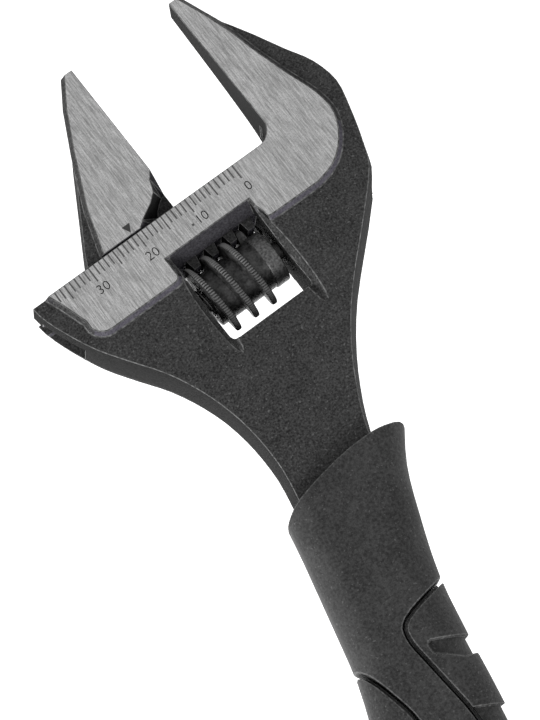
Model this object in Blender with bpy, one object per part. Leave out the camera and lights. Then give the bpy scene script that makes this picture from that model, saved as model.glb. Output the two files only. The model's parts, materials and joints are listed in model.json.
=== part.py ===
"""Wide-opening adjustable wrench: forged body, sliding jaw, worm on its pin with a spring, and a moulded grip.

Sizes are in millimetres and become metres as each mesh is made. The head is drawn in the rail's own
directions: x runs along the rail toward the fixed jaw from the zero of the scale, y toward the jaw tips,
and h is the height above the middle of the thickness. The handle runs along world Y.
"""

import math

import bmesh
import bpy
from mathutils import Matrix, Vector

MM = 0.001

# Overall sizes
TOTAL_LENGTH = 218.0  # jaw tips to the end of the grip
HEAD_HALF = 7.5  # half the thickness over the bright lands
LAND_RISE = 0.8  # height of a land above the black forging
HEAD_ANGLE = 15.0  # between the rail and the line across the handle
RAIL_OFFSET = 3.3  # scale zero, to the right of the handle's line
DRAFT = 1.0  # how far the forging's flank falls in from the parting line to the face
FIT_GAP = 0.3  # between pieces that touch

# Jaws
FIXED_FACE = 9.2  # fixed jaw's face, from the scale zero
JAW_GAP = 20.6  # jaw opening as it lies
JAW_HEIGHT = 30.7  # tips above the rail
THROAT_RADIUS = 3.4
TIP_THICKNESS = 5.2

# Jaw shank and its channel
LIP = 2.4  # steel over the channel
WEB_WIDTH = 4.6
SHANK_WIDTH = 7.0
SHANK_DEPTH = 5.1
SHANK_REACH = 15.0  # shank's end past the moving jaw's face
SHANK_TAIL = 18.1  # shank's other end behind that face
RACK_DEPTH = 2.2

# Worm, pin and spring
LEAD = 3.8
WORM_RADIUS = 7.0
WORM_LENGTH = 14.1
WORM_MIDDLE = -9.75
WORM_END_GAP = 1.2
THREAD_END = 2.7  # plain hub at the worm's right end
RACK_CLEARANCE = 0.25
THREAD_TIP = 0.6  # half width of the thread at its rim
THREAD_ROOT = 0.95  # half width at the core
TOOTH_PLAY = 0.27  # between thread and tooth, each side
PIN_RADIUS = 1.9
PIN_BLIND = 4.5  # pin's end in the far wall
SPRING_WIRE = 0.25
SPRING_WALL = 0.35  # room round the spring in the worm
COUNTERBORE = 6.0
WINDOW_FOOT = 2.8  # room under the worm

# Grip
GRIP_PROUD = 1.0  # grip's front above the front land; its back is level with the back land
GRIP_CORNER = 5.5
SKIN = 2.2  # thickness of the two panels
GROOVE = 0.8
GROOVE_DEPTH = 1.0
SLOT_DEPTH = 0.8
TANG_WIDTH = 9.0
TANG_HALF = 4.0
HOLE_RADIUS = 4.0

MOVING_FACE = FIXED_FACE - JAW_GAP
BLACK_HALF = HEAD_HALF - LAND_RISE
GRIP_HALF = HEAD_HALF + GRIP_PROUD / 2
GRIP_MIDDLE = GRIP_PROUD / 2
SHANK_TOP = -LIP - FIT_GAP
RACK_ROOT = SHANK_TOP - SHANK_DEPTH
RACK_TIP = RACK_ROOT - RACK_DEPTH
WORM_Y = RACK_ROOT - RACK_CLEARANCE - WORM_RADIUS
CORE_RADIUS = RACK_TIP - RACK_CLEARANCE - WORM_Y
WORM_LEFT = WORM_MIDDLE - WORM_LENGTH / 2
WORM_RIGHT = WORM_MIDDLE + WORM_LENGTH / 2
WINDOW_LEFT = WORM_LEFT - WORM_END_GAP
WINDOW_RIGHT = WORM_RIGHT + WORM_END_GAP
WINDOW_LOW = WORM_Y - WORM_RADIUS - WINDOW_FOOT
PIN_BORE = PIN_RADIUS + FIT_GAP
CHANNEL_HALF = SHANK_WIDTH / 2 + FIT_GAP
CHANNEL_LOW = RACK_TIP - FIT_GAP
TILT = math.radians(HEAD_ANGLE)


def world(x, y):
    """The rail's x and y as world X and Y."""
    return (
        RAIL_OFFSET + x * math.cos(TILT) - y * math.sin(TILT),
        x * math.sin(TILT) + y * math.cos(TILT),
    )


JAW_TIP_Y = world(FIXED_FACE + 1.4, JAW_HEIGHT)[1]
GRIP_TOP = -51.5
GRIP_END = JAW_TIP_Y - TOTAL_LENGTH


def down_grip(part):
    """World Y at a share of the way down the grip."""
    return GRIP_TOP + part * (GRIP_END - GRIP_TOP)


# ---------------------------------------------------------------- outlines


def arc(cx, cy, radius, start, end, steps=6):
    """Points of an arc, angles in degrees."""
    angles = [math.radians(start + (end - start) * k / steps) for k in range(steps + 1)]
    return [(cx + radius * math.cos(a), cy + radius * math.sin(a)) for a in angles]


def curve(points, steps=4):
    """A smooth line through the points, of equal parts between each two."""
    ends = [points[0]] + points + [points[-1]]
    out = []
    for k in range(1, len(ends) - 2):
        a, b, c, d = ends[k - 1 : k + 3]
        for j in range(steps):
            t = j / steps
            out.append(
                tuple(
                    0.5 * (2 * q + (r - p) * t + (2 * p - 5 * q + 4 * r - s) * t**2 + (3 * q - p - 3 * r + s) * t**3)
                    for p, q, r, s in zip(a, b, c, d)
                )
            )
    return out + [points[-1]]


def grown(outline, by):
    """The outline moved outward by a distance, or inward by a negative one. It runs anticlockwise."""
    out = []
    count = len(outline)
    for k in range(count):
        before = Vector(outline[k - 1])
        here = Vector(outline[k])
        after = Vector(outline[(k + 1) % count])
        first = (here - before).normalized()
        second = (after - here).normalized()
        normal = Vector((first.y + second.y, -first.x - second.x)).normalized()
        lean = max(0.35, normal.dot(Vector((first.y, -first.x))))
        out.append(tuple(here + normal * (by / lean)))
    return out


def on_rail(outline):
    return [world(x, y) for x, y in outline]


# ---------------------------------------------------------------- solids


def make(name, rings):
    """A closed solid through rings of 3-D points in millimetres, flat at both ends."""
    mesh = bpy.data.meshes.new(name)
    bm = bmesh.new()
    rows = [[bm.verts.new(p) for p in ring] for ring in rings]
    count = len(rows[0])
    for low, high in zip(rows, rows[1:]):
        for k in range(count):
            n = (k + 1) % count
            bm.faces.new((low[k], low[n], high[n], high[k]))
    bm.faces.new(rows[0])
    bm.faces.new(rows[-1])
    bm.normal_update()
    bmesh.ops.triangulate(bm, faces=bm.faces[:])
    bmesh.ops.recalc_face_normals(bm, faces=bm.faces[:])
    if bm.calc_volume(signed=True) < 0:
        bmesh.ops.reverse_faces(bm, faces=bm.faces[:])
    bm.to_mesh(mesh)
    bm.free()
    obj = bpy.data.objects.new(name, mesh)
    bpy.context.scene.collection.objects.link(obj)
    return obj


def layered(name, levels):
    """A solid of outlines at heights above the middle, as pairs of height and outline."""
    return make(name, [[(x, y, HEAD_HALF + h) for x, y in outline] for h, outline in levels])


def prism(name, outline, low, high):
    return layered(name, [(low, outline), (high, outline)])


def along_rail(name, section, start, end):
    """A solid of one section, as y and height, along the rail from start to end."""
    rings = []
    for x in (start, end):
        rings.append([(*world(x, y), HEAD_HALF + h) for y, h in section])
    return make(name, rings)


def round_section(radius, steps=40):
    return [(WORM_Y + a, h) for a, h in arc(0, 0, radius, 0, 360 - 360 / steps, steps - 1)]


def tidy(mesh, scale=1.0):
    """Welds the mesh, splits it into triangles and scales it."""
    bm = bmesh.new()
    bm.from_mesh(mesh)
    bmesh.ops.remove_doubles(bm, verts=bm.verts[:], dist=0.001)
    bmesh.ops.dissolve_degenerate(bm, edges=bm.edges[:], dist=0.001)
    bm.normal_update()
    bmesh.ops.triangulate(bm, faces=bm.faces[:])
    bmesh.ops.scale(bm, vec=(scale, scale, scale), verts=bm.verts[:])
    bm.to_mesh(mesh)
    bm.free()


def combine(obj, other, operation):
    """Applies an exact boolean with the other solid and removes that solid."""
    other.hide_render = True
    other.display_type = "WIRE"
    modifier = obj.modifiers.new("cut", "BOOLEAN")
    modifier.object = other
    modifier.operation = operation
    modifier.solver = "EXACT"
    bpy.context.view_layer.objects.active = obj
    bpy.ops.object.modifier_apply(modifier=modifier.name)
    bpy.data.objects.remove(other)
    tidy(obj.data)
    return obj


def joined(obj, *others):
    for other in others:
        combine(obj, other, "UNION")
    return obj


def cut(obj, *others):
    for other in others:
        combine(obj, other, "DIFFERENCE")
    return obj


def finish(obj, colour, metallic, roughness):
    """Own material and a clean welded mesh, brought from millimetres to metres."""
    material = bpy.data.materials.new(obj.name)
    material.use_nodes = True
    shader = material.node_tree.nodes["Principled BSDF"]
    shader.inputs["Base Color"].default_value = (*colour, 1)
    shader.inputs["Metallic"].default_value = metallic
    shader.inputs["Roughness"].default_value = roughness
    obj.data.materials.clear()
    obj.data.materials.append(material)
    tidy(obj.data, MM)
    for face in obj.data.polygons:
        face.material_index = 0
    return obj


def move_origin(obj, point):
    """Puts the object's origin at a point in millimetres, leaving its shape where it is."""
    offset = Vector(point) * MM
    obj.data.transform(Matrix.Translation(-offset))
    obj.location = obj.location + offset


for old in list(bpy.data.objects):
    bpy.data.objects.remove(old)

# ---------------------------------------------------------------- shared head shapes


def back_taper():
    """Cuts the backs of the jaws thin toward their tips, from the full thickness at the rail."""
    tip = HEAD_HALF - TIP_THICKNESS
    line = curve(
        [
            (-1.0, -HEAD_HALF - 0.01),
            (3.5, -HEAD_HALF + 2.6),
            (8.0, -HEAD_HALF + 5.0),
            (18.0, tip - 2.3),
            (JAW_HEIGHT + 3, tip + 0.4),
        ]
    )
    section = line + [(JAW_HEIGHT + 3, -HEAD_HALF - 2), (-1.0, -HEAD_HALF - 2)]
    return along_rail("back_taper", section, -60, 40)


def land(name, outline, side):
    """A bright land on one face: its outline at the top, and a slope down into the forging."""
    wide = grown(outline, LAND_RISE)
    foot = BLACK_HALF - 0.05
    levels = [(side * (BLACK_HALF - 1.5), wide), (side * foot, wide), (side * HEAD_HALF, outline)]
    return layered(name, levels)


def forging(name, outline):
    """A drafted forging, widest at the parting line halfway through."""
    face = grown(outline, -DRAFT)
    return layered(name, [(-BLACK_HALF, face), (0, outline), (BLACK_HALF, face)])


# ---------------------------------------------------------------- body

# Left flank of the head and neck, downward, then the end of the wide neck inside the grip.
NECK_END = GRIP_TOP - 12.5
left_flank = on_rail(
    curve(
        [
            (-42.6, 2.5),
            (-42.2, -2.0),
            (-40.6, -6.9),
            (-38.0, -12.6),
            (-34.6, -17.9),
            (-31.2, -22.9),
            (-28.5, -28.6),
            (-26.7, -34.5),
            (-25.8, -40.5),
            (-25.8, -47.0),
            (-26.8, -53.0),
        ],
        3,
    )
)
neck_foot = [(-8.9, NECK_END), (7.4, NECK_END)]
# Right flank upward, round the heel of the fixed jaw and up its back to the tip.
right_flank = on_rail(
    curve(
        [
            (-8.7, -50.3),
            (-6.4, -45.0),
            (-2.1, -37.7),
            (3.9, -30.2),
            (13.2, -21.3),
            (19.3, -14.9),
            (21.7, -9.8),
            (23.6, -4.0),
            (24.9, 1.8),
            (23.8, 7.5),
            (21.3, 12.3),
            (18.6, 17.8),
            (15.6, 23.2),
            (12.8, 27.2),
            (10.2, 33.0),
        ],
        3,
    )
)
over_jaw = on_rail([(FIXED_FACE - 2, 33.0), (FIXED_FACE - 2, 2.5)])
body = forging("body", left_flank + neck_foot + right_flank + over_jaw)

rail_land = on_rail(
    [(-38.6, 2.5)]
    + curve([(-38.2, 0.0), (-37.1, -2.8), (-35.6, -7.4)], 2)
    + arc(-32.9, -8.2, 2.8, 180 + 15, 270, 5)
    + arc(-19.8, -10.0, 1.0, 270, 360, 3)
    + [(-18.8, -6.6), (-1.2, -6.6)]
    + arc(0.1, -9.9, 1.3, 180, 270, 3)
    + curve([(9.9, -11.3), (13.9, -10.2), (17.4, -7.3), (19.7, -3.0), (19.6, 1.7), (17.8, 7.5)], 3)
    + [(16.0, 13.9), (14.6, 20.0), (13.0, 25.2), (10.1, 33.0), (FIXED_FACE - 2, 33.0), (FIXED_FACE - 2, 2.5)]
)
joined(body, land("front_land", rail_land, 1), land("back_land", rail_land, -1))
tang_middle = -0.7
tang_low = down_grip(0.87)
tang = [
    (tang_middle - TANG_WIDTH / 2, tang_low),
    (tang_middle + TANG_WIDTH / 2, tang_low),
    (tang_middle + TANG_WIDTH / 2, NECK_END + 3),
    (tang_middle - TANG_WIDTH / 2, NECK_END + 3),
]
joined(body, prism("tang", tang, -TANG_HALF, TANG_HALF))

# The space between the jaws, open past the left end, with the throat's round corner.
throat = arc(FIXED_FACE - THROAT_RADIUS, THROAT_RADIUS, THROAT_RADIUS, -90, 0, 8)
gap = on_rail(
    [(-70, 0)] + throat + [(FIXED_FACE, JAW_HEIGHT), (45, JAW_HEIGHT), (45, JAW_HEIGHT + 20), (-70, JAW_HEIGHT + 20)]
)
cut(body, prism("gap", gap, -HEAD_HALF - 3, HEAD_HALF + 3), back_taper())

# Channel for the toothed shank, and the narrow slot through the rail for the jaw's web.
slot_half = WEB_WIDTH / 2 + FIT_GAP
channel = [(-LIP, CHANNEL_HALF), (-LIP, -CHANNEL_HALF), (CHANNEL_LOW, -CHANNEL_HALF), (CHANNEL_LOW, CHANNEL_HALF)]
slot = [(THROAT_RADIUS + 1, slot_half), (THROAT_RADIUS + 1, -slot_half), (-LIP - 1, -slot_half), (-LIP - 1, slot_half)]
cut(body, along_rail("channel", channel, -60, 45), along_rail("slot", slot, -60, FIXED_FACE + FIT_GAP))


def window_outline(top):
    """The worm's window with its top edge at y, round at the two lower corners."""
    foot = arc(WINDOW_LEFT + 1.2, WINDOW_LOW + 1.2, 1.2, 180, 270, 3)
    heel = arc(WINDOW_RIGHT - 0.6, WINDOW_LOW + 0.6, 0.6, 270, 360, 3)
    return on_rail([(WINDOW_LEFT, top)] + foot + heel + [(WINDOW_RIGHT, top)])


# The window's top wall slopes down into the channel from both faces.
wall_top = -6.6
wall_slope = (CHANNEL_LOW + 2.1 - wall_top) / (HEAD_HALF - CHANNEL_HALF)
outer_top = wall_top - wall_slope * 2
inner_top = wall_top + wall_slope * (HEAD_HALF - CHANNEL_HALF + 0.8)
window = [
    (-HEAD_HALF - 2, window_outline(outer_top)),
    (0.8 - CHANNEL_HALF, window_outline(inner_top)),
    (CHANNEL_HALF - 0.8, window_outline(inner_top)),
    (HEAD_HALF + 2, window_outline(outer_top)),
]
cut(body, layered("window", window))

# Shallow, narrow thumb scoops beside the window on both faces, the longer on the fixed jaw's side.
for name, middle, width, length in (("left_scoop", WINDOW_LEFT, 1.1, 8.5), ("right_scoop", WINDOW_RIGHT, 1.3, 10.0)):
    for side in (-1, 1):
        levels = []
        for h, reach in ((-1.2, 0.12), (-0.9, 0.5), (-0.45, 0.8), (0.0, 1.0), (LAND_RISE + 1, 1.25)):
            oval = arc(0, 0, 1, 0, 345, 23)
            ring = [world(middle + width * reach * a, WORM_Y - 4 + length * reach * b) for a, b in oval]
            levels.append((side * (BLACK_HALF + h), ring))
        cut(body, layered(name, levels))

# Bore for the pin, from the right flank through the window and into the far wall.
cut(body, along_rail("pin_bore", round_section(PIN_BORE, 32), WINDOW_LEFT - PIN_BLIND, 45))
finish(body, (0.045, 0.045, 0.047), 0.9, 0.5)

# ---------------------------------------------------------------- movable jaw

jaw_back = curve([(-13.2, 31.2), (-16.2, 26.7), (-20.7, 19.3), (-25.3, 11.0), (-29.6, 3.3), (-30.7, 1.0)], 3)
jaw_shift = MOVING_FACE + 11.4
jaw_outline = [(MOVING_FACE + 2, 34.0), (-11.9 + jaw_shift, 34.0)]
jaw_outline += [(x + jaw_shift, y) for x, y in jaw_back + [(-34.3, -7.0)]] + [(MOVING_FACE + 2, -7.0)]
jaw_land = [(MOVING_FACE + 2, 34.0), (-12.0 + jaw_shift, 34.0)]
jaw_land += [(x + jaw_shift, y) for x, y in ((-12.9, 30.9), (-16.2, 25.6), (-19.9, 18.0), (-24.0, 8.5), (-28.4, -6.0))]
jaw_land += [(MOVING_FACE + 2, -6.0)]
jaw = forging("movable_jaw", on_rail(jaw_outline))
joined(jaw, land("jaw_front", on_rail(jaw_land), 1), land("jaw_back", on_rail(jaw_land), -1))
jaw_top = JAW_HEIGHT + 0.2
jaw_room = on_rail([(-60, FIT_GAP), (MOVING_FACE, FIT_GAP), (MOVING_FACE, jaw_top), (-60, jaw_top)])
combine(jaw, prism("jaw_room", jaw_room, -HEAD_HALF - 3, HEAD_HALF + 3), "INTERSECT")
cut(jaw, back_taper())

# The lower corner is cut back on both faces to clear the throat when the jaws close.
wide = ((2, 8.2), (0, 8.1), (-1.2, 6.5), (-2.0, 4.2), (-3.5, 2.9), (-6.6, 1.2), (-8.2, 0.0), (-8.2, -1), (2, -1))
deep = ((2, 4.5), (0, 4.5), (-0.8, 4.2), (-1.7, 3.6), (-2.7, 2.7), (-3.4, 1.6), (-3.9, 0.0), (-3.9, -1), (2, -1))
for side in (-1, 1):
    levels = [
        (side * (WEB_WIDTH / 2 + 0.05), on_rail([(MOVING_FACE + x, y) for x, y in deep])),
        (side * (HEAD_HALF + 0.4), on_rail([(MOVING_FACE + x, y) for x, y in wide])),
    ]
    cut(jaw, layered("relief", levels))

shank_start = MOVING_FACE - SHANK_TAIL
shank_end = MOVING_FACE + SHANK_REACH
web_half = WEB_WIDTH / 2
web = [(1.5, web_half), (1.5, -web_half), (SHANK_TOP - 0.5, -web_half), (SHANK_TOP - 0.5, web_half)]
joined(jaw, along_rail("web", web, shank_start + 0.6, MOVING_FACE - 0.4))

# Rack teeth stand between the turns of the thread and slant with it across the shank.
shank_half = SHANK_WIDTH / 2
tooth_root = LEAD / 2 - THREAD_TIP - TOOTH_PLAY
tooth_tip = LEAD / 2 - THREAD_ROOT - TOOTH_PLAY
slant = LEAD / (2 * math.pi * (CORE_RADIUS + WORM_RADIUS) / 2)
thread_start = WORM_LEFT - 0.2  # middle of the first turn where it meets the rack
first = math.ceil((shank_start + 2.2 - thread_start) / LEAD - 0.5)
last = math.floor((shank_end - 2.2 - thread_start) / LEAD - 0.5)
rings = []
for h in (-shank_half, shank_half):
    outline = [(shank_start, RACK_ROOT), (shank_start, SHANK_TOP), (shank_end, SHANK_TOP), (shank_end, RACK_ROOT)]
    for k in range(last, first - 1, -1):
        middle = thread_start + (k + 0.5) * LEAD + slant * h
        outline += [(middle + tooth_root, RACK_ROOT), (middle + tooth_tip, RACK_TIP)]
        outline += [(middle - tooth_tip, RACK_TIP), (middle - tooth_root, RACK_ROOT)]
    rings.append([(*world(x, y), HEAD_HALF + h) for x, y in outline])
joined(jaw, make("shank", rings))
finish(jaw, (0.3, 0.3, 0.3), 0.9, 0.42)

# ---------------------------------------------------------------- worm

STEPS = 36
flank = (THREAD_ROOT - THREAD_TIP) / (WORM_RADIUS - CORE_RADIUS)
thread = [(CORE_RADIUS - 0.6, THREAD_ROOT + 0.6 * flank), (WORM_RADIUS - 0.35, THREAD_TIP)]
thread += [(WORM_RADIUS, THREAD_TIP - 0.3)]
thread = [(r, -w) for r, w in thread] + [(r, w) for r, w in reversed(thread)]
rings = []
turns = 2 + (WORM_LENGTH - THREAD_END) / LEAD
for k in range(round(turns * STEPS) + 1):
    turn = k / STEPS
    angle = 2 * math.pi * turn
    x = thread_start + LEAD * (turn - 2)
    ring = []
    for r, w in thread:
        at = world(x + w, WORM_Y + r * math.cos(angle))
        ring.append((*at, HEAD_HALF + r * math.sin(angle)))
    rings.append(ring)
worm = along_rail("adjusting_worm", round_section(CORE_RADIUS, 44), WORM_LEFT - 1, WORM_RIGHT + 1)
joined(worm, make("thread", rings))
beyond = round_section(WORM_RADIUS + 2, STEPS)
cut(worm, along_rail("left_end", beyond, WORM_LEFT - 20, WORM_LEFT))
cut(worm, along_rail("right_end", beyond, WORM_RIGHT, WORM_RIGHT + 20))
spring_inner = PIN_BORE + 0.2
spring_outer = spring_inner + 2 * SPRING_WIRE
cut(worm, along_rail("bore", round_section(PIN_BORE, 32), WORM_LEFT - 5, WORM_RIGHT + 5))
counterbore = round_section(spring_outer + SPRING_WALL, 32)
cut(worm, along_rail("counterbore", counterbore, WORM_LEFT - 5, WORM_LEFT + COUNTERBORE))
finish(worm, (0.05, 0.05, 0.052), 0.9, 0.45)

# ---------------------------------------------------------------- pin and spring

pin_head = 17.6
pin = along_rail("worm_pin", round_section(PIN_RADIUS, 32), WINDOW_LEFT - PIN_BLIND + FIT_GAP, pin_head)
groove = [(WORM_Y - 4, 0.5), (WORM_Y - 4, -0.5), (WORM_Y + 4, -0.5), (WORM_Y + 4, 0.5)]
cut(pin, along_rail("driver_slot", groove, pin_head - 1.0, pin_head + 3))
finish(pin, (0.2, 0.2, 0.2), 0.95, 0.35)

spring_start = WINDOW_LEFT + FIT_GAP + SPRING_WIRE
spring_end = WORM_LEFT + COUNTERBORE - FIT_GAP - SPRING_WIRE
coil_radius = spring_inner + SPRING_WIRE
coils = 5
rings = []
for k in range(coils * 20 + 1):
    share = k / (coils * 20)
    angle = 2 * math.pi * coils * share
    x = spring_start + (spring_end - spring_start) * share
    ring = []
    for a, b in arc(0, 0, SPRING_WIRE, 0, 315, 7):
        r = coil_radius + a
        at = world(x + b, WORM_Y + r * math.cos(angle))
        ring.append((*at, HEAD_HALF + r * math.sin(angle)))
    rings.append(ring)
spring = make("worm_spring", rings)
finish(spring, (0.45, 0.45, 0.46), 0.95, 0.3)

# ---------------------------------------------------------------- grip

# Left and right edges of the grip as X at shares of its length.
edges = [
    (0.0, -11.3, 13.4),
    (0.05, -11.2, 11.0),
    (0.11, -10.7, 9.7),
    (0.19, -10.4, 8.7),
    (0.27, -10.1, 9.2),
    (0.36, -11.2, 10.2),
    (0.55, -12.4, 11.4),
    (0.75, -11.8, 11.0),
    (0.9, -10.6, 10.2),
    (1.0, -10.2, 9.9),
]
END_ROUND = 7.0  # how far the grip's end is rounded off


def grip_solid(name, inset):
    """The grip's outer shape, or the same a distance further in."""
    rings = []
    stations = curve(edges, 3)
    samples = [(-0.04, *stations[0][1:])] + stations
    low = down_grip(1.0) + END_ROUND
    places = [(down_grip(s), left, right) for s, left, right in samples if down_grip(s) > low + 1]
    for k in range(7):
        places.append((low - (END_ROUND - inset) * math.sin(math.pi / 2 * k / 6.4), *samples[-1][1:]))
    for y, left, right in places:
        fall = max(0.0, min(1.0, (low - y) / END_ROUND))
        shrink = inset + 5.2 * (1 - math.sqrt(1 - fall**2))
        half = GRIP_HALF - inset - (shrink - inset) * 0.5
        l, r = left + shrink, right - shrink
        corner = min(GRIP_CORNER - inset * 0.6, half - 0.8, (r - l) / 2 - 0.5)
        ring = []
        for cx, cz, start in (
            (r - corner, half - corner, 0),
            (l + corner, half - corner, 90),
            (l + corner, corner - half, 180),
            (r - corner, corner - half, 270),
        ):
            ring += [(a, y, HEAD_HALF + GRIP_MIDDLE + b) for a, b in arc(cx, cz, corner, start, start + 90, 5)]
        rings.append(ring)
    return make(name, rings)


def region(points, side):
    """A panel's outline from the points of its groove, closed beyond the grip's edge on that side."""
    line = curve([(x, down_grip(s)) for x, s in points], 4)
    outline = line + [(side * 20, line[-1][1]), (side * 20, line[0][1])]
    return outline if side > 0 else outline[::-1]


finger = region(
    [
        (11.0, 0.184),
        (7.0, 0.199),
        (0.4, 0.224),
        (-0.8, 0.248),
        (1.0, 0.290),
        (4.3, 0.362),
        (5.7, 0.44),
        (5.6, 0.53),
        (5.6, 0.61),
        (8.0, 0.68),
        (13.0, 0.72),
    ],
    1,
)
palm = region(
    [
        (-13.0, 0.249),
        (-10.4, 0.2575),
        (-8.3, 0.271),
        (-5.9, 0.302),
        (-3.7, 0.34),
        (-2.3, 0.40),
        (-1.9, 0.49),
        (-2.2, 0.58),
        (-3.6, 0.67),
        (-6.6, 0.75),
        (-13.0, 0.80),
    ],
    -1,
)


def panel(name, outline):
    """A moulded panel in the grip's skin, with a lower flange that floors the groove round it."""
    layers = []
    for inset, edge in ((GROOVE_DEPTH, FIT_GAP), (0.0, GROOVE)):
        layer = grip_solid(name, inset)
        keep = prism("keep", grown(outline, -edge), -GRIP_HALF - 2, GRIP_HALF + 2)
        layers.append(combine(layer, keep, "INTERSECT"))
    return cut(joined(*layers), grip_solid("core", SKIN))


finger_panel = panel("finger_panel", finger)
palm_panel = panel("palm_panel", palm)
# Slots across the finger panel for a hold.
pitch = 0.0895
for k in range(5):
    at = down_grip(0.265 + pitch * k)
    left = 2.0 + 2.2 * math.sin(min(1.0, 0.5 * k) * math.pi / 2) + (1.2 if k > 1 else 0)
    outline = [(left, at), (left + 0.3, at - 1.2), (left + 5, at - 3.6), (16, at - 3.6), (16, at - 1.9)]
    outline += [(left + 0.7, at + 0.8), (left + 0.15, at + 0.6)]
    cut(finger_panel, cut(prism("slot", outline, -GRIP_HALF - 2, GRIP_HALF + 2), grip_solid("floor", SLOT_DEPTH)))
finish(finger_panel, (0.035, 0.035, 0.037), 0.0, 0.75)
finish(palm_panel, (0.035, 0.035, 0.037), 0.0, 0.75)

sleeve = grip_solid("grip_sleeve", 0)
for outline in (finger, palm):
    pocket = prism("pocket", outline, -GRIP_HALF - 2, GRIP_HALF + 2)
    cut(sleeve, cut(pocket, grip_solid("floor", SKIN + FIT_GAP)))
# The rim runs askew over the neck, higher on the fixed jaw's side.
rim = curve([(-13.5, -62.6), (-11.2, -60.4), (-7.9, -57.7), (0.1, -53.9), (6.7, -51.9), (11.4, -51.5)], 3)
rim = rim + arc(11.9, -53.0, 1.5, 75, 10, 4) + [(16, -54.5)]
above = [(x, y) for x, y in reversed(rim)]
cut(sleeve, prism("rim", above + [(-20, -62.6), (-20, -30), (20, -30), (20, -54.5)], -20, 20))
# Hollow for the neck and the tang.
neck = on_rail([(-25.5, -40), (-25.8, -47.0), (-26.8, -53.0)]) + [(-8.9, NECK_END), (7.4, NECK_END)]
neck += on_rail([(-8.7, -50.3), (-6.4, -45.0), (-2.1, -37.7)])
hollow = [
    (-BLACK_HALF - FIT_GAP, grown(neck, FIT_GAP - DRAFT)),
    (0, grown(neck, FIT_GAP)),
    (BLACK_HALF + FIT_GAP, grown(neck, FIT_GAP - DRAFT)),
]
cut(sleeve, layered("hollow", hollow))
tang_room = grown(tang, FIT_GAP)
cut(sleeve, prism("tang_room", tang_room, -TANG_HALF - FIT_GAP, TANG_HALF + FIT_GAP))
hole_y = down_grip(1.0) + 10.5
cut(sleeve, prism("hole", arc(-0.2, hole_y, HOLE_RADIUS, 0, 350, 35), -20, 20))
finish(sleeve, (0.03, 0.03, 0.032), 0.0, 0.8)

# ---------------------------------------------------------------- origins

worm_axis = (*world(WORM_MIDDLE, WORM_Y), HEAD_HALF)
shank_axis = (*world(MOVING_FACE, SHANK_TOP - SHANK_DEPTH / 2), HEAD_HALF)
move_origin(worm, worm_axis)
move_origin(jaw, shank_axis)

# The frame's origin is the middle of the wrench's outline, at the face it lies on.
pieces = [body, jaw, worm, pin, spring, sleeve, finger_panel, palm_panel]
spots = [obj.matrix_basis @ v.co for obj in pieces for v in obj.data.vertices]
middle = [(min(p[k] for p in spots) + max(p[k] for p in spots)) / 2 for k in (0, 1)]
base = min(p.z for p in spots)
for obj in pieces:
    obj.location = obj.location - Vector((*middle, base))
    if obj not in (worm, jaw):
        obj.data.transform(Matrix.Translation(obj.location))
        obj.location = (0, 0, 0)
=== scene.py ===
"""Wide-opening adjustable wrench: the looks of each piece, built around its fitted parts.

Sizes are in metres, and a number times MM is in millimetres.
"""

import json
import math

import bpy
from mathutils import Matrix, Vector


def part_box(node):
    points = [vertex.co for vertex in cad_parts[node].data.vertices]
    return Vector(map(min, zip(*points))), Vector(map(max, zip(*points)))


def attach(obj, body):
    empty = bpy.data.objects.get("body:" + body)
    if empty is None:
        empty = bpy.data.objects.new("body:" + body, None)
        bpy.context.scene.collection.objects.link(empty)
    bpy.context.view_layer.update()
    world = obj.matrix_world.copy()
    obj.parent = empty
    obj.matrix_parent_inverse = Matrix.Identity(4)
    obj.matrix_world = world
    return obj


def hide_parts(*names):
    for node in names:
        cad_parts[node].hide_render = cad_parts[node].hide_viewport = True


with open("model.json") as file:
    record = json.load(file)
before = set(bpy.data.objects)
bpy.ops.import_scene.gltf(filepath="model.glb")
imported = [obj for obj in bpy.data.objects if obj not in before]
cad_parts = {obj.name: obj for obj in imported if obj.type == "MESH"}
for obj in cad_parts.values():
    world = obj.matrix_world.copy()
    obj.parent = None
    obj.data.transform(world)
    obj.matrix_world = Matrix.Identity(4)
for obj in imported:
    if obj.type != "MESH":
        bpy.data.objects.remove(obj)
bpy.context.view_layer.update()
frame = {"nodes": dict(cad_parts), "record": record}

# ---------------------------------------------------------------- forged body
# The head, fixed jaw and neck are one drop forging in alloy steel. It is oxidised black all over, and then
# the front of the jaw and the raised lands along the rail, front and back, are ground bright.

MM = 0.001
FORGING_WELD = 0.12 * MM  # corners closer together than this are merged
BODY_EDGE = 0.14 * MM
GROUND_FADE = (0.01 * MM, 0.035 * MM)  # the ground finish fades out between these depths below a land
# Painted light: the paler tones of the steps that look down the handle.
PAINTED_LIGHT_STEP_DARK = (0.05, 0.047, 0.058)
PAINTED_LIGHT_STEP_LIGHT = (0.15, 0.142, 0.172)
BRUSH_LINES = (5200, 330, 300)  # spots to a metre along the rail, across it and through the head
LAND_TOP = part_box("body")[1][2]
LAND_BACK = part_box("body")[0][2]
mounts = {mount["name"]: mount for mount in frame["record"]["mounts"]}
ALONG = Vector(mounts["moving_jaw_face"]["axis"])  # along the rail, toward the fixed jaw
ACROSS = Vector((-ALONG.y, ALONG.x, 0))  # toward the jaw tips
TURN = math.atan2(ALONG.y, ALONG.x)


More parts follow.
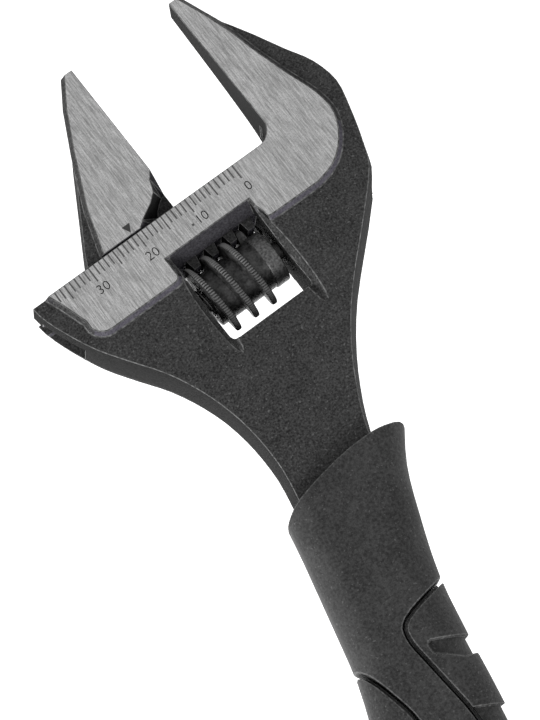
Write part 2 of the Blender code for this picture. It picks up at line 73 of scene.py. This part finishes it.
class Value:
    """A number from a shader node that sums and products can be written with."""

    def __init__(self, finish, socket):
        self.finish = finish
        self.socket = socket

    def math(self, operation, *others):
        sockets = {0: self, **dict(enumerate(others, 1))}
        return self.finish.number("ShaderNodeMath", {"operation": operation}, sockets)

    def __add__(self, other):
        return self.math("ADD", other)

    def __sub__(self, other):
        return self.math("SUBTRACT", other)

    def __mul__(self, other):
        return self.math("MULTIPLY", other)

    def __truediv__(self, other):
        return self.math("DIVIDE", other)

    def __pow__(self, other):
        return self.math("POWER", other)

    def __rsub__(self, other):
        return self.math("MULTIPLY", -1.0) + other

    __radd__ = __add__
    __rmul__ = __mul__

    def clipped(self):
        return self.math("MAXIMUM", 0.0).math("MINIMUM", 1.0)

    def between(self, low, high):
        """0 below low, 1 above high and even in between."""
        return ((self - low) / (high - low)).clipped()


class Finish:
    """A surface finish built from shader nodes on one Principled shader."""

    def __init__(self, name):
        self.material = bpy.data.materials.new(name)
        self.material.use_nodes = True
        self.tree = self.material.node_tree
        self.shader = self.tree.nodes["Principled BSDF"]

    def node(self, kind, settings=None, sockets=None):
        """A node of that type, its settings made first and then its sockets set or linked."""
        made = self.tree.nodes.new(kind)
        for key, value in (settings or {}).items():
            setattr(made, key, value)
        for key, value in (sockets or {}).items():
            self.put(made.inputs[key], value)
        return made

    def number(self, kind, settings=None, sockets=None, out=0):
        """What such a node gives."""
        return Value(self, self.node(kind, settings, sockets).outputs[out])

    def put(self, socket, value):
        """Links a value to a socket, or sets the socket to a plain one."""
        if isinstance(value, Value):
            self.tree.links.new(value.socket, socket)
        else:
            socket.default_value = value

    def place(self, turn=0.0):
        """Positions on the piece, turned about the upright axis."""
        spot = self.number("ShaderNodeTexCoord", out=3)
        where = {"Vector": spot, "Rotation": (0, 0, turn)}
        return self.number("ShaderNodeMapping", {"vector_type": "POINT"}, where)

    def noise(self, scale, detail=2.0, rough=0.5, where=None):
        """A fine random pattern, with about that many spots to a metre."""
        sockets = {"Vector": where or self.place(), "Scale": scale, "Detail": detail, "Roughness": rough}
        return self.number("ShaderNodeTexNoise", {}, sockets)

    def blend(self, low, high, share):
        """A colour between two others. A plain number is a grey."""
        mixer = self.node("ShaderNodeMix", {"data_type": "RGBA"})
        self.put(mixer.inputs[0], share)
        for socket, colour in ((mixer.inputs[6], low), (mixer.inputs[7], high)):
            if isinstance(colour, float):
                colour = (colour, colour, colour)
            if isinstance(colour, tuple):
                colour = (*colour, 1)
            self.put(socket, colour)
        return Value(self, mixer.outputs[2])

    def surface(self, colour, rough, metal=0.0, height=None, depth=0.0, **plain):
        """Joins what was made to the shader. The relief is as deep as depth where height is 1."""
        self.put(self.shader.inputs["Base Color"], colour)
        self.put(self.shader.inputs["Roughness"], rough)
        self.put(self.shader.inputs["Metallic"], metal)
        for key, value in plain.items():
            self.shader.inputs[key.replace("_", " ")].default_value = value
        if height is not None:
            relief = {"Strength": 1.0, "Distance": depth, "Height": height}
            self.put(self.shader.inputs["Normal"], self.number("ShaderNodeBump", {}, relief))
        return self.material


def part_copy(node, name, weld=0.002 * MM):
    """A welded copy of a fitted part's shape, as a piece of its own."""
    piece = bpy.data.objects.new(name, frame["nodes"][node].data.copy())
    bpy.context.scene.collection.objects.link(piece)
    bpy.ops.object.select_all(action="DESELECT")
    piece.select_set(True)
    bpy.context.view_layer.objects.active = piece
    bpy.ops.object.mode_set(mode="EDIT")
    bpy.ops.mesh.select_all(action="SELECT")
    bpy.ops.mesh.remove_doubles(threshold=weld)
    bpy.ops.mesh.dissolve_limited(angle_limit=math.radians(1.0))
    bpy.ops.object.mode_set(mode="OBJECT")
    return piece


def worked(piece, kind, **settings):
    """Adds a modifier and applies it."""
    modifier = piece.modifiers.new("work", kind)
    for key, value in settings.items():
        setattr(modifier, key, value)
    bpy.context.view_layer.objects.active = piece
    bpy.ops.object.modifier_apply(modifier=modifier.name)
    return piece


def smoothed(piece, angle=35):
    """Shades the piece smooth, apart from edges sharper than that many degrees."""
    bpy.ops.object.select_all(action="DESELECT")
    piece.select_set(True)
    bpy.context.view_layer.objects.active = piece
    bpy.ops.object.shade_smooth_by_angle(angle=math.radians(angle))
    return piece


def dressed(piece, material, angle=35):
    """Gives the piece its one material, and shades it smooth."""
    piece.data.materials.clear()
    piece.data.materials.append(material)
    return smoothed(piece, angle)


def height_of(finish):
    """How high a spot is, in metres."""
    return finish.number("ShaderNodeSeparateXYZ", {}, {0: finish.place()}, out=2)


def black_and_bright(name, both_faces=True):
    """Black oxide with a fine blasted grain, ground bright on the highest faces with the wheel's lines,
    with painted shade on the sides and painted light on the steps that look down the handle.
    """
    finish = Finish(name)
    near, far = GROUND_FADE
    high = height_of(finish)
    bright = high.between(LAND_TOP - far, LAND_TOP - near)
    if both_faces:
        bright = bright + high.between(LAND_BACK + far, LAND_BACK + near)
    cloud = finish.noise(260, 3.0)
    grain = finish.noise(2800, 3.0, rough=0.75)
    speck = finish.noise(1900, 1.0).between(0.66, 0.72)
    mottle = (grain * 0.9 + cloud * 0.15).between(0.38, 0.7)
    black = finish.blend(finish.blend(0.014, 0.095, mottle), 0.16, speck * 0.7)
    # Painted shade and light: sides are painted a deeper black than the faces as shade, and the steps that
    # look down the handle are painted paler and bluer as if lit from the grip's side.
    normal = finish.number("ShaderNodeNewGeometry", out=3)
    upright = finish.number("ShaderNodeSeparateXYZ", {}, {0: normal}, out=2).math("ABSOLUTE")
    down_handle = {0: normal, 1: -ACROSS}
    down = finish.number("ShaderNodeVectorMath", {"operation": "DOT_PRODUCT"}, down_handle, out=1)
    facing = upright.between(0.3, 0.6)
    black = finish.blend(finish.blend(0.003, 0.02, mottle), black, facing)
    step = down.between(0.93, 0.98) + facing * down.between(0.25, 0.4)
    black = finish.blend(black, finish.blend(PAINTED_LIGHT_STEP_DARK, PAINTED_LIGHT_STEP_LIGHT, mottle), step)
    # The wheel's lines run across the rail, so they are long that way and close together along it.
    stretch = {0: finish.place(-TURN), 1: BRUSH_LINES}
    streak = finish.number("ShaderNodeVectorMath", {"operation": "MULTIPLY"}, stretch)
    lines = finish.noise(1.0, 3.0, 0.7, streak)
    wide = finish.noise(350, 2.0)
    fleck = finish.noise(3600, 2.0).between(0.5, 0.7)
    ground = finish.blend(0.36, 0.84, (lines + wide * 0.08).between(0.36, 0.7))
    ground = finish.blend(ground, 0.24, fleck * 0.45)
    colour = finish.blend(black, ground, bright)
    rough = 0.85 - facing * 0.3 + bright * (lines * 0.25 - 0.2)
    height = (1 - bright) * (grain * 0.9 + cloud * 0.5) + bright * lines * 0.35
    return finish.surface(colour, rough, bright * 0.55, height, 0.045 * MM, Specular_IOR_Level=0.16)


def edged(piece, face, edge, width, angle=28):
    """Rounds the sharp edges a little, and gives the rounding a paler finish of its own, a painted
    highlight along the edges.
    """
    piece.data.materials.clear()
    piece.data.materials.append(face)
    piece.data.materials.append(edge)
    worked(
        piece,
        "BEVEL",
        width=width,
        segments=2,
        limit_method="ANGLE",
        angle_limit=math.radians(angle),
        material=1,
        use_clamp_overlap=False,
        loop_slide=False,
    )
    smoothed(piece)
    return worked(piece, "WEIGHTED_NORMAL", keep_sharp=True)


# Painted highlight: the rounded edges of the steel are coloured paler, as if light were catching them.
edge_highlight = Finish("painted edge highlight")
edge_highlight_tone = edge_highlight.blend(0.055, 0.22, edge_highlight.noise(1500, 2.0).between(0.35, 0.7))
edge_highlight.surface(edge_highlight_tone, 0.5, 0.3, Specular_IOR_Level=0.4)
body = part_copy("body", "forged_body", FORGING_WELD)
edged(body, black_and_bright("black oxide and ground lands"), edge_highlight.material, BODY_EDGE)
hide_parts("body")
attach(body, "handle")

# ---------------------------------------------------------------- opening scale
# A millimetre scale etched grey into the front land, read where the moving jaw's mark stands. Its zero is
# for closed jaws, every fifth line is longer and every tenth is numbered.

FACE_ALONG = 9.2  # from the scale's zero to the fixed jaw's mount, in millimetres along the rail
FACE_ACROSS = 15  # and across it
ZERO = Vector(mounts["fixed_jaw_face"]["pos_m"]) - MM * (FACE_ALONG * ALONG + FACE_ACROSS * ACROSS)
ETCH = 0.015 * MM
LINES = 38  # one to a millimetre, and their sizes are in millimetres
LINE_WIDTH = 0.25
SHORT_LINE = 2.1
LONG_LINE = 2.9
LINE_START = 0.05  # from the rail's edge to a line's top
DOT = 0.42
DOT_PLACE = (-11.5, -4.65)
FIGURE_SIZE = 2.45 * MM
FIGURE_THINNED = 0.028 * MM  # how far the edges of each stroke are drawn in
FIGURES = (("0", 0.1, -4.72), ("10", -9.5, -4.5), ("20", -19.9, -4.7), ("30", -29.9, -4.45))


def on_rail(x, y, z=LAND_TOP):
    """A place from its distances in millimetres along the rail from the scale's zero and across it."""
    spot = ZERO + MM * (x * ALONG + y * ACROSS)
    return Vector((spot.x, spot.y, z))


def settled(piece):
    """Moves the object's place into its mesh."""
    bpy.ops.object.select_all(action="DESELECT")
    piece.select_set(True)
    bpy.context.view_layer.objects.active = piece
    bpy.ops.object.transform_apply(location=True, rotation=True, scale=True)
    return piece


def mark(x, y, wide, tall):
    """One etched line, from its middle, in millimetres."""
    bpy.ops.mesh.primitive_cube_add(size=1, location=on_rail(x, y), rotation=(0, 0, TURN))
    line = bpy.context.object
    line.scale = (wide * MM, tall * MM, 2 * ETCH)
    return settled(line)


def etched_figure(text, x, y):
    """One number of the scale, from its middle, in millimetres."""
    bpy.ops.object.text_add(location=on_rail(x, y, LAND_TOP - ETCH), rotation=(0, 0, TURN))
    figure = bpy.context.object
    figure.data.body = text
    figure.data.size = FIGURE_SIZE
    figure.data.align_x = "CENTER"
    figure.data.align_y = "CENTER"
    figure.data.offset = -FIGURE_THINNED
    figure.data.extrude = ETCH
    figure.data.resolution_u = 4
    bpy.ops.object.select_all(action="DESELECT")
    figure.select_set(True)
    bpy.ops.object.convert(target="MESH")
    return settled(bpy.context.object)


def joined(pieces, name):
    """Makes one piece of several."""
    bpy.ops.object.select_all(action="DESELECT")
    for piece in pieces:
        piece.select_set(True)
    bpy.context.view_layer.objects.active = pieces[0]
    bpy.ops.object.join()
    pieces[0].name = name
    return pieces[0]


marks = []
for step in range(LINES):
    tall = LONG_LINE if step % 5 == 0 else SHORT_LINE
    marks.append(mark(-step, -tall / 2 - LINE_START, LINE_WIDTH, tall))
for text, x, y in FIGURES:
    marks.append(etched_figure(text, x, y))
marks.append(mark(*DOT_PLACE, DOT, DOT))
scale = joined(marks, "opening_scale")

etched = Finish("etched grey")
etched.surface(etched.blend(0.085, 0.17, etched.noise(3000, 2.0).between(0.35, 0.7)), 0.6, 0.3)
dressed(scale, etched.material)
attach(scale, "handle")

# ---------------------------------------------------------------- moving jaw
# A second forging that slides along the rail on a toothed shank. Its front face is ground level with the
# fixed jaw's, its back thins toward the tip, and a small etched arrow points at the scale.

JAW_EDGE = 0.1 * MM
OPENING = 20.6  # between the jaws at rest, in millimetres
ARROW_RISE = 1.7  # from the rail's edge to the arrow's middle
ARROW_RADIUS = 0.8 * MM
ARROW_SHAPE = (1.15, 1.33, 1)

jaw = part_copy("movable_jaw", "moving_jaw", FORGING_WELD)
edged(jaw, black_and_bright("black oxide and ground jaw", False), edge_highlight.material, JAW_EDGE)
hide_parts("movable_jaw")
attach(jaw, "jaw")

bpy.ops.object.select_all(action="DESELECT")
arrow_place = on_rail(-OPENING, ARROW_RISE)
bpy.ops.mesh.primitive_cylinder_add(vertices=3, radius=ARROW_RADIUS, depth=2 * ETCH, location=arrow_place)
arrow = bpy.context.object
arrow.rotation_euler = (0, 0, TURN + math.pi)
arrow.scale = ARROW_SHAPE
settled(arrow)
arrow.name = "jaw_mark"
dark = Finish("etched dark")
dark.surface(dark.blend(0.035, 0.07, dark.noise(3000, 2.0)), 0.6, 0.2)
dressed(arrow, dark.material)
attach(arrow, "jaw")

# ---------------------------------------------------------------- adjusting worm
# A steel worm with a single coarse thread, whose rim is cut with fine serrations for the thumb. It turns on
# its pin in the window and drives the rack.

joints = {joint["name"]: joint for joint in frame["record"]["behaviour"]["joints"]}
WORM_MIDDLE = Vector(joints["worm_spin"]["pos_m"])
LEAD = 3.8 * MM
WORM_RADIUS = 6.95 * MM
CORE_RADIUS = 4.75 * MM
WORM_LENGTH = 14.1 * MM
PIN_BORE = 2.2 * MM
COUNTERBORE_RADIUS = 3.25 * MM
COUNTERBORE = 6 * MM
NOTCHES = 84  # serrations in a turn
SHOULDER_FROM = 6.5 * MM  # the serrations start at this radius, and are full at the rim's
SHOULDER_DEPTH = 0.14 * MM
RIM_FROM = 6.8 * MM
RIM_DEPTH = 0.28 * MM
HUB = 2.7 * MM  # plain length at the end nearer the fixed jaw
HUB_RADIUS = 5.0 * MM
OVERRUN = 0.2 * MM  # how far the thread is made past its ends
TURNS = (WORM_LENGTH - HUB + OVERRUN) / LEAD + 1
STEPS = round(2 * NOTCHES * TURNS)  # rings in the whole thread, two to a serration
# Half of the thread's section, as distances from the axis and along it, in millimetres.
FLANK = ((4.3, -0.92), (4.75, -0.86), (5.0, -0.78), (6.6, -0.56), (6.86, -0.44), (6.95, -0.2))

bpy.ops.object.select_all(action="DESELECT")
bpy.ops.mesh.primitive_plane_add(size=1)
thread = bpy.context.object
section = FLANK + tuple((r, -h) for r, h in reversed(FLANK))
start = -WORM_LENGTH / 2 - OVERRUN - LEAD
corners = [(r * MM, 0, start + h * MM) for r, h in section]
sides = [(k, (k + 1) % len(section)) for k in range(len(section))]
outline = bpy.data.meshes.new("thread")
outline.from_pydata(corners, sides, [])
thread.data = outline
worked(
    thread,
    "SCREW",
    axis="Z",
    angle=2 * math.pi * TURNS,
    screw_offset=LEAD * TURNS,
    steps=STEPS,
    render_steps=STEPS,
)
# Every second ring of the rim is sunk a little, for the serrations.
for point in thread.data.vertices:
    radius = math.hypot(point.co.x, point.co.y)
    step = round(math.atan2(point.co.y, point.co.x) / (math.pi / NOTCHES))
    if radius > SHOULDER_FROM and step % 2:
        depth = RIM_DEPTH if radius > RIM_FROM else SHOULDER_DEPTH
        point.co.x *= 1 - depth / radius
        point.co.y *= 1 - depth / radius
bpy.context.view_layer.objects.active = thread
bpy.ops.object.mode_set(mode="EDIT")
bpy.ops.mesh.select_all(action="SELECT")
low_end = (0, 0, -WORM_LENGTH / 2)
bpy.ops.mesh.bisect(plane_co=low_end, plane_no=(0, 0, -1), clear_outer=True, use_fill=True, threshold=1e-7)
bpy.ops.mesh.select_all(action="DESELECT")
bpy.ops.mesh.select_non_manifold()
bpy.ops.mesh.edge_face_add()
bpy.ops.object.mode_set(mode="OBJECT")

bpy.ops.object.select_all(action="DESELECT")
bpy.ops.mesh.primitive_cylinder_add(vertices=96, radius=CORE_RADIUS, depth=WORM_LENGTH)
core = bpy.context.object
rounded = {"segments": 3, "limit_method": "ANGLE", "angle_limit": math.radians(50)}
worked(core, "BEVEL", width=0.25 * MM, **rounded)
bpy.ops.object.select_all(action="DESELECT")
hub_middle = (0, 0, (WORM_LENGTH - HUB) / 2)
bpy.ops.mesh.primitive_cylinder_add(vertices=96, radius=HUB_RADIUS, depth=HUB, location=hub_middle)
hub = bpy.context.object
worked(hub, "BEVEL", width=0.3 * MM, **rounded)
settled(hub)
# The pin's bore goes right through, and the spring's counterbore opens away from the fixed jaw.
for radius, depth in ((PIN_BORE, 3 * WORM_LENGTH), (COUNTERBORE_RADIUS, 2 * COUNTERBORE)):
    bpy.ops.object.select_all(action="DESELECT")
    bpy.ops.mesh.primitive_cylinder_add(vertices=64, radius=radius, depth=depth, location=low_end)
    drill = settled(bpy.context.object)
    for turned_piece in (core, hub):
        worked(turned_piece, "BOOLEAN", object=drill, operation="DIFFERENCE", solver="EXACT")
    bpy.data.objects.remove(drill)
worm = joined([thread, core, hub], "worm")
laid_along = Matrix((ACROSS, (0, 0, 1), ALONG)).transposed().to_4x4()
worm.matrix_world = Matrix.Translation(WORM_MIDDLE) @ laid_along
settled(worm)
bpy.ops.object.mode_set(mode="EDIT")
bpy.ops.mesh.select_all(action="SELECT")
bpy.ops.mesh.normals_make_consistent(inside=False)
bpy.ops.object.mode_set(mode="OBJECT")

oxide = Finish("worm black oxide")
grain = oxide.noise(2400, 3.0).between(0.35, 0.7)
rub = oxide.noise(700, 2.0).between(0.45, 0.75)
along = oxide.number("ShaderNodeSeparateXYZ", {}, {0: oxide.place(-TURN)}, out=0)
hub_from = WORM_MIDDLE.dot(ALONG) + WORM_LENGTH / 2 - HUB
on_hub = along.between(hub_from - 0.1 * MM, hub_from + 0.1 * MM)
tone = oxide.blend(oxide.blend(0.012, 0.085, grain), 0.2, rub * 0.5)
tone = oxide.blend(tone, oxide.blend(0.06, 0.24, grain), on_hub * 0.8)
# The thread's outer edge is painted paler than its flanks, a painted highlight.
aside = oxide.number("ShaderNodeSeparateXYZ", {}, {0: oxide.place(-TURN)}, out=1)
from_axis = ((aside - WORM_MIDDLE.dot(ACROSS)) ** 2 + (height_of(oxide) - WORM_MIDDLE.z) ** 2) ** 0.5
crest_highlight = from_axis.between(WORM_RADIUS - RIM_DEPTH, WORM_RADIUS - 0.05 * MM)
tone = oxide.blend(tone, 0.25, crest_highlight * 0.8)
oxide.surface(tone, 0.38 + rub * 0.15, 0.25, grain, 0.02 * MM, Specular_IOR_Level=0.6)
dressed(worm, oxide.material, 32)
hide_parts("adjusting_worm")
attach(worm, "worm")

# ---------------------------------------------------------------- worm pin and spring
# A plain steel pin, screwed in from the side with a driver slot, and the small coil spring that pushes the
# worm against the window's end so that the setting doesn't creep.

PIN_EDGE = 0.15 * MM

pin = part_copy("worm_pin", "worm_pin_turned")
worked(pin, "BEVEL", width=PIN_EDGE, segments=2, limit_method="ANGLE", angle_limit=math.radians(40))
turned = Finish("turned steel")
rings = turned.noise(3800, 2.0)
turned.surface(turned.blend(0.13, 0.24, rings), 0.38 + rings * 0.15, 0.7, rings, 0.01 * MM)
dressed(pin, turned.material)
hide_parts("worm_pin")
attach(pin, "handle")

spring = part_copy("worm_spring", "worm_spring_wire")
wire = Finish("drawn wire")
drawn = wire.noise(5000, 2.0)
wire.surface(wire.blend(0.3, 0.5, drawn), 0.3 + drawn * 0.15, 0.8, drawn, 0.005 * MM)
dressed(spring, wire.material, 60)
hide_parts("worm_spring")
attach(spring, "handle")

# ---------------------------------------------------------------- grip
# A firm black rubber sleeve moulded over the neck and tang, with two softer panels let into it inside
# narrow grooves. All of it has a fine spark-eroded grain from the mould.

GRIP_WELD = 0.15 * MM
GRIP_EDGE = 0.2 * MM
GRIP_BEND = 38  # edges sharper than this many degrees are rounded
DEEP_BLACK = 0.01
WORN_BLACK = 0.062


def rubber(name, low=DEEP_BLACK, high=WORN_BLACK):
    """Matt rubber with the mould's grain, mottled between two greys."""
    finish = Finish(name)
    grain = finish.noise(2100, 3.0, rough=0.75)
    cloud = finish.noise(140, 2.0)
    speck = finish.noise(2000, 1.0).between(0.67, 0.74)
    tone = finish.blend(low, high, (grain * 0.9 + cloud * 0.25).between(0.42, 0.72))
    tone = finish.blend(tone, high * 2.2, speck * 0.6)
    return finish.surface(tone, 0.6 + grain * 0.2, 0.0, grain, 0.06 * MM, Specular_IOR_Level=0.45)


# Painted highlight: the rounded rubber edges are coloured paler, as if light were catching them.
rubber_edge_highlight = rubber("painted rubber edge highlight", 0.035, 0.15)

sleeve = part_copy("grip_sleeve", "rubber_sleeve", GRIP_WELD)
edged(sleeve, rubber("sleeve rubber"), rubber_edge_highlight, GRIP_EDGE, GRIP_BEND)
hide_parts("grip_sleeve")
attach(sleeve, "handle")

finger = part_copy("finger_panel", "rubber_finger_panel", GRIP_WELD)
edged(finger, rubber("finger panel rubber"), rubber_edge_highlight, GRIP_EDGE, GRIP_BEND)
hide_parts("finger_panel")
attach(finger, "handle")

palm = part_copy("palm_panel", "rubber_palm_panel", GRIP_WELD)
edged(palm, rubber("palm panel rubber"), rubber_edge_highlight, GRIP_EDGE, GRIP_BEND)
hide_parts("palm_panel")
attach(palm, "handle")

# ---------------------------------------------------------------- studio
# A plain white floor well below the wrench, with one soft light from the grip's side and a weaker one from
# each side of the head. The camera is above the neck, tilted a little off the wrench's face.

FLOOR_SIZE = 6
FLOOR_HEIGHT = -0.35
WORLD_LIGHT = 0.42
LIGHTS_AIM = Vector((0, 0.04, 0.01))  # a spot on the neck

bpy.ops.object.select_all(action="DESELECT")
bpy.ops.mesh.primitive_plane_add(size=FLOOR_SIZE, location=(0, 0, FLOOR_HEIGHT))
floor = bpy.context.object
floor.name = "studio_floor"
settled(floor)
paper = Finish("lit white paper")
lit = {"Specular_IOR_Level": 0.1, "Emission_Color": (1, 1, 1, 1), "Emission_Strength": 0.75}
paper.surface(paper.blend(0.88, 0.92, paper.noise(20, 2.0)), 0.9, **lit)
dressed(floor, paper.material)

world = bpy.data.worlds.new("studio")
bpy.context.scene.world = world
world.use_nodes = True
world.node_tree.nodes["Background"].inputs[0].default_value = (1, 1, 1, 1)
world.node_tree.nodes["Background"].inputs[1].default_value = WORLD_LIGHT


def soft_light(name, place, size, watts):
    """A square softbox turned to the wrench's neck."""
    lamp = bpy.data.objects.new(name, bpy.data.lights.new(name, "AREA"))
    lamp.data.energy = watts
    lamp.data.size = size
    lamp.location = place
    lamp.rotation_euler = (LIGHTS_AIM - Vector(place)).to_track_quat("-Z", "Y").to_euler()
    bpy.context.scene.collection.objects.link(lamp)


soft_light("grip_side_light", (-0.35, -0.85, 0.35), 0.45, 7)
soft_light("left_light", (-0.95, 0.15, 0.3), 0.4, 3.5)
soft_light("right_light", (0.9, -0.2, 0.35), 0.4, 1.5)

# The camera looks down on the face from the grip's side, turned so that the wrench leans left.
place = Vector((-20.12, -31.97, 302.2)) * MM
forward = Vector((0.0730, 0.2494, -0.9656)).normalized()
up = Vector((0.3693, 0.8926, 0.2585))
right = forward.cross(up).normalized()
up = right.cross(forward)
camera = bpy.data.objects.new("camera", bpy.data.cameras.new("camera"))
camera.data.lens = 90.35
camera.data.clip_start = 0.01
camera.matrix_world = Matrix.Translation(place) @ Matrix((right, up, -forward)).transposed().to_4x4()
bpy.context.scene.collection.objects.link(camera)
bpy.context.scene.camera = camera
bpy.context.scene.view_settings.view_transform = "Standard"
